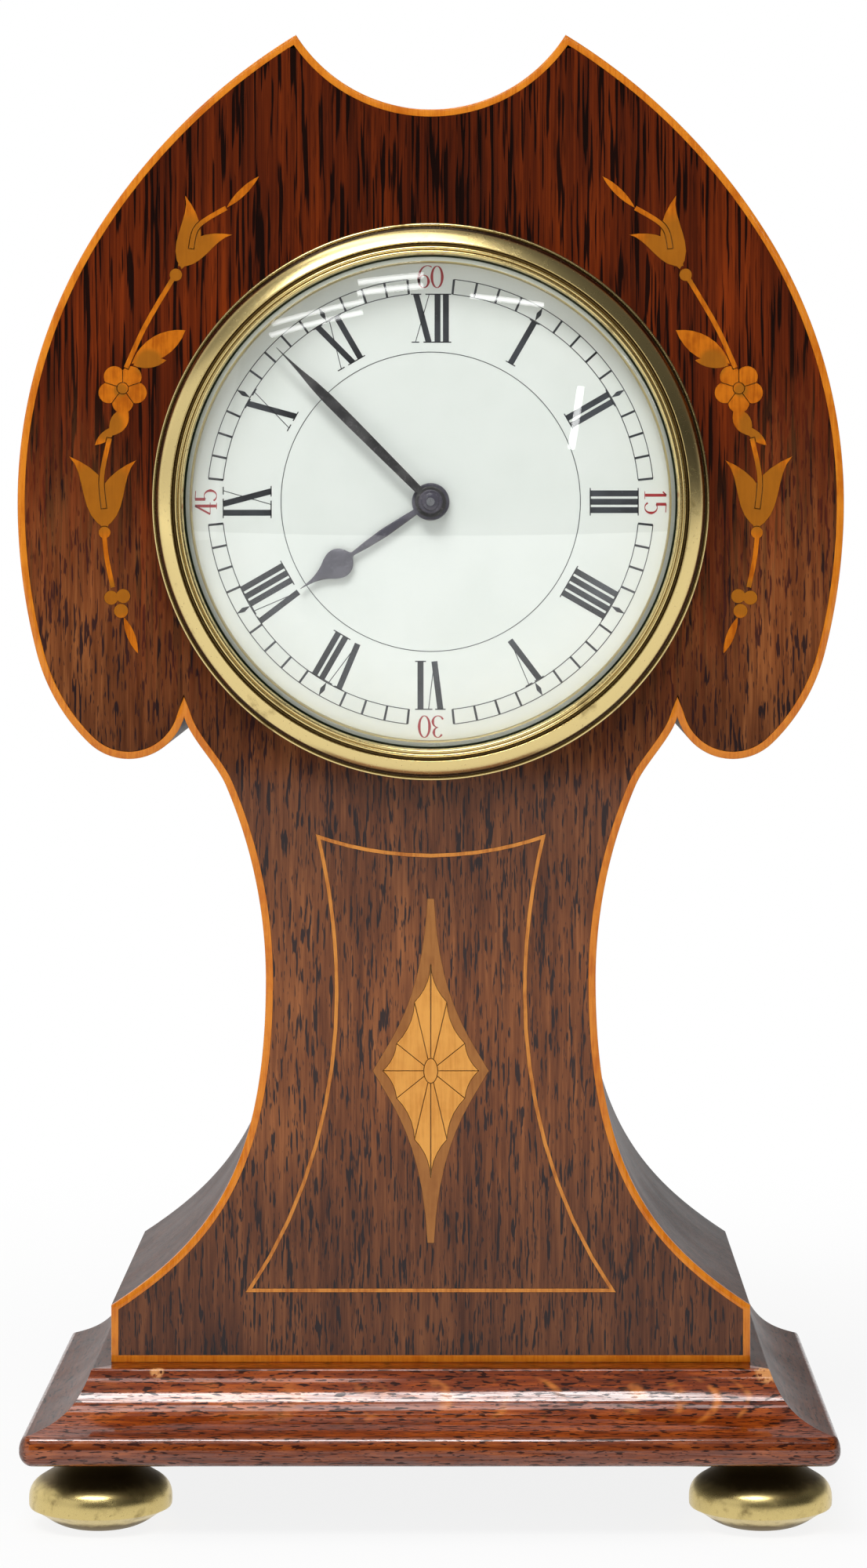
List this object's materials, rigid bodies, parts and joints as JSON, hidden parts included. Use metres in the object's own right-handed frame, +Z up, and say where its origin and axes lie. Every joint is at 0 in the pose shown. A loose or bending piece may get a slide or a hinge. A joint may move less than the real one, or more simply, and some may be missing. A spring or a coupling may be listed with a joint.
{
  "type": "balloon clock",
  "caption": "Balloon-shaped inlaid wooden mantel clock with domed glass, enamel dial, moulded plinth, brass bun feet and a back-wound drum movement.",
  "frame": {"origin": "on the table, under the middle of the clock's overall box", "axes": "+Z up, -Y is the front with the dial, +X to the viewer's right"},
  "size_m": [0.1508, 0.1, 0.2712],
  "materials": {
    "oak_face": "figured oak veneer, polished",
    "oak_side": "dark stained wood, glossy",
    "oak_plinth": "quarter-sawn oak, glossy",
    "pine": "bare softwood",
    "boxwood": "boxwood inlay, polished",
    "foot_brass": "worn turned brass",
    "bezel_brass": "spun brass with patina",
    "gilt": "gilt slip",
    "glass": "domed clear glass",
    "enamel": "white enamel, glossy",
    "hand_black": "blackened steel",
    "drum_brass": "satin brass",
    "movement_brass": "brushed brass",
    "steel": "polished steel",
    "blue_steel": "blued spring steel"
  },
  "bodies": {
    "case": {"front_veneer": "oak_face", "side_wrap": "oak_side", "back_board": "oak_side", "plinth_board": "oak_plinth", "front_moulding": "oak_plinth", "left_moulding": "oak_plinth", "right_moulding": "oak_plinth", "front_board": "pine", "base_board": "pine", "plinth_core": "pine", "edge_stringing": "boxwood", "panel_stringing": "boxwood", "left_spray": "boxwood", "right_spray": "boxwood", "patera_border": "boxwood", "patera_fan": "boxwood", "foot_front_left": "foot_brass", "foot_front_right": "foot_brass", "foot_back_left": "foot_brass", "foot_back_right": "foot_brass", "bezel_ring": "bezel_brass", "sight_ring": "gilt", "bezel_glass": "glass", "dial": "enamel", "drum": "drum_brass", "rear_bezel": "drum_brass", "front_plate": "movement_brass", "back_plate": "movement_brass", "escapement_cock": "movement_brass", "balance_cock": "movement_brass", "plinth_screws": "steel", "ring_screws": "steel", "door_hinge_pin": "steel", "movement_screws": "steel", "click_spring": "blue_steel", "hairspring": "blue_steel"},
    "back_door": {"back_door": "drum_brass"},
    "minute_arbor": {"set_arbor": "steel", "minute_hand": "hand_black", "hand_collet": "bezel_brass", "set_knob": "drum_brass"},
    "hour_pipe": {"hour_wheel": "movement_brass", "hour_hand": "hand_black"},
    "minute_wheel": {"minute_wheel": "movement_brass"},
    "winding_arbor": {"barrel_arbor": "steel", "ratchet_wheel": "steel", "winding_key": "drum_brass"},
    "click": {"click": "steel"},
    "barrel": {"barrel": "movement_brass", "barrel_cover": "movement_brass", "mainspring": "blue_steel"},
    "intermediate_wheel": {"intermediate_wheel": "movement_brass"},
    "centre_wheel": {"centre_wheel": "movement_brass"},
    "third_wheel": {"third_wheel": "movement_brass"},
    "fourth_wheel": {"fourth_wheel": "movement_brass"},
    "escape_wheel": {"escape_wheel": "movement_brass"},
    "pallet_lever": {"pallet_lever": "steel"},
    "balance_wheel": {"balance_wheel": "movement_brass"},
    "regulator_index": {"regulator_index": "steel"}
  },
  "joints": [
    {"name": "back_door_hinge", "type": "hinge", "parent": "case", "child": "back_door", "pos_m": [-0.0479, 0.04585, 0.186], "axis": [0, 0, 1], "range_deg": [0, 115]},
    {"name": "hand_setting", "type": "hinge", "parent": "case", "child": "minute_arbor", "pos_m": [0, -0.012, 0.186], "axis": [0, 1, 0], "continuous": true},
    {"name": "hour_turn", "type": "hinge", "parent": "case", "child": "hour_pipe", "pos_m": [0, -0.03, 0.186], "axis": [0, 1, 0], "continuous": true},
    {"name": "minute_wheel_turn", "type": "hinge", "parent": "case", "child": "minute_wheel", "pos_m": [0, -0.026, 0.1956], "axis": [0, 1, 0], "continuous": true},
    {"name": "winding", "type": "hinge", "parent": "case", "child": "winding_arbor", "pos_m": [-0.00705, 0.013, 0.16664], "axis": [0, -1, 0], "range_deg": [0, 1980], "deforming": ["mainspring"]},
    {"name": "click_lift", "type": "hinge", "parent": "case", "child": "click", "pos_m": [0.00595, 0.007, 0.16664], "axis": [0, 1, 0], "range_deg": [0, 10], "stiffness_Nm_per_rad": 0.00002, "springref_deg": -5.73, "deforming": ["click_spring"]},
    {"name": "third_wheel_turn", "type": "hinge", "parent": "case", "child": "third_wheel", "pos_m": [0.0072, -0.01, 0.19847], "axis": [0, 1, 0], "continuous": true},
    {"name": "barrel_turn", "type": "hinge", "parent": "case", "child": "barrel", "pos_m": [-0.00705, -0.01, 0.16664], "axis": [0, 1, 0], "continuous": true},
    {"name": "intermediate_wheel_turn", "type": "hinge", "parent": "case", "child": "intermediate_wheel", "pos_m": [0.01117, -0.01, 0.1749], "axis": [0, 1, 0], "continuous": true},
    {"name": "centre_wheel_turn", "type": "hinge", "parent": "case", "child": "centre_wheel", "pos_m": [0, -0.01, 0.186], "axis": [0, 1, 0], "continuous": true},
    {"name": "fourth_wheel_turn", "type": "hinge", "parent": "case", "child": "fourth_wheel", "pos_m": [-0.00452, -0.01, 0.20054], "axis": [0, 1, 0], "continuous": true},
    {"name": "escape_wheel_turn", "type": "hinge", "parent": "case", "child": "escape_wheel", "pos_m": [-0.01492, 0.002, 0.1987], "axis": [0, 1, 0], "continuous": true},
    {"name": "pallet_lever_rock", "type": "hinge", "parent": "case", "child": "pallet_lever", "pos_m": [-0.01888, 0.007, 0.19474], "axis": [0, 1, 0], "range_deg": [-5, 5]},
    {"name": "balance_swing", "type": "hinge", "parent": "case", "child": "balance_wheel", "pos_m": [-0.02524, 0.011, 0.18838], "axis": [0, 1, 0], "range_deg": [-220, 220], "stiffness_Nm_per_rad": 0.000012, "deforming": ["hairspring"]},
    {"name": "regulator_turn", "type": "hinge", "parent": "case", "child": "regulator_index", "pos_m": [-0.02524, 0.017, 0.18838], "axis": [0, 1, 0], "range_deg": [-20, 20]}
  ],
  "couplings": [
    {"joint": "hour_turn", "follows": "hand_setting", "ratio": 0.083333},
    {"joint": "minute_wheel_turn", "follows": "hand_setting", "ratio": -0.33333},
    {"joint": "centre_wheel_turn", "follows": "third_wheel_turn", "ratio": -0.125},
    {"joint": "intermediate_wheel_turn", "follows": "third_wheel_turn", "ratio": 0.020833},
    {"joint": "barrel_turn", "follows": "third_wheel_turn", "ratio": -0.0029762},
    {"joint": "fourth_wheel_turn", "follows": "third_wheel_turn", "ratio": -7.5},
    {"joint": "escape_wheel_turn", "follows": "third_wheel_turn", "ratio": 75}
  ]
}
